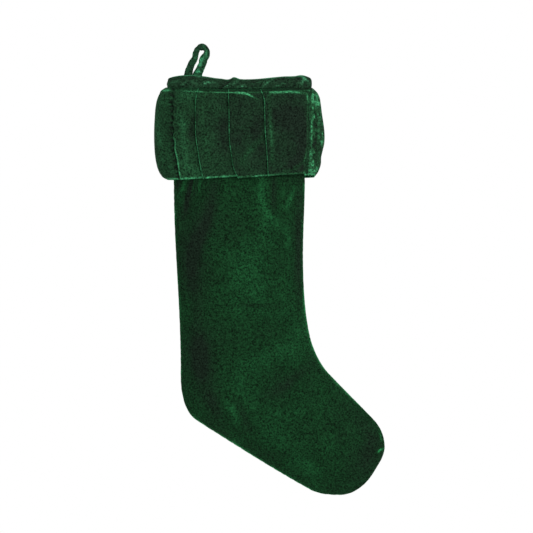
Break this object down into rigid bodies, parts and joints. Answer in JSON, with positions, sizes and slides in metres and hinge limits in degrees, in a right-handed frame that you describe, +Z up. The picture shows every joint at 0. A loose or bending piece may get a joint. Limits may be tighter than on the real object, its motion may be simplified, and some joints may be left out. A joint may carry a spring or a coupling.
{
  "type": "hanging stocking",
  "caption": "Long velvet stocking with a pointed-down foot, a bound rim, a wide knife-pleated cuff that hangs free at the front, and a strap loop to hang it by.",
  "frame": {"origin": "the point under the top of the hanging loop where a hook bears, in the middle of the strap's thickness", "axes": "+Z up the leg to the loop, +X towards the toe side, -Y out of the pleated front face"},
  "size_m": [0.2771, 0.056, 0.5431],
  "materials": {
    "velvet": "dark green short-pile velvet with a soft sheen",
    "velvet_binding": "dark green velvet cut on the bias, slightly crushed",
    "velvet_cuff": "dark green velvet, pleated, crushed towards its side edges",
    "satin": "dark green smooth lining satin",
    "thread": "dark green sewing thread"
  },
  "bodies": {
    "loop": {"hanging_loop": "velvet"},
    "tails": {"loop_tails": "velvet"},
    "stocking": {"loop_bar_tack": "thread", "rim_binding": "velvet_binding", "rim_stitching": "thread", "leg_front_panel": "velvet", "leg_back_panel": "velvet", "leg_seam_thread": "thread", "lining_front_panel": "satin", "lining_back_panel": "satin", "lining_seam_thread": "thread", "cuff_back_panel": "velvet_cuff", "cuff_back_facing": "satin", "cuff_back_hem_thread": "thread", "cuff_heel_seam_thread": "thread", "cuff_toe_seam_thread": "thread"},
    "cuff_front": {"cuff_front_pleats": "velvet_cuff", "cuff_front_facing": "satin", "cuff_front_hem_thread": "thread"}
  },
  "joints": [
    {"name": "loop_fold", "type": "hinge", "parent": "loop", "child": "tails", "pos_m": [-0.0104, 0, -0.026], "axis": [1, 0, 0], "range_deg": [-90, 90]},
    {"name": "loop_lean", "type": "hinge", "parent": "tails", "child": "stocking", "pos_m": [-0.0108, 0, -0.043], "axis": [0, 1, 0], "range_deg": [-8, 8]},
    {"name": "cuff_front_lift", "type": "hinge", "parent": "stocking", "child": "cuff_front", "pos_m": [0.0438, -0.0248, -0.0485], "axis": [-1, 0, 0], "range_deg": [0, 20]}
  ]
}
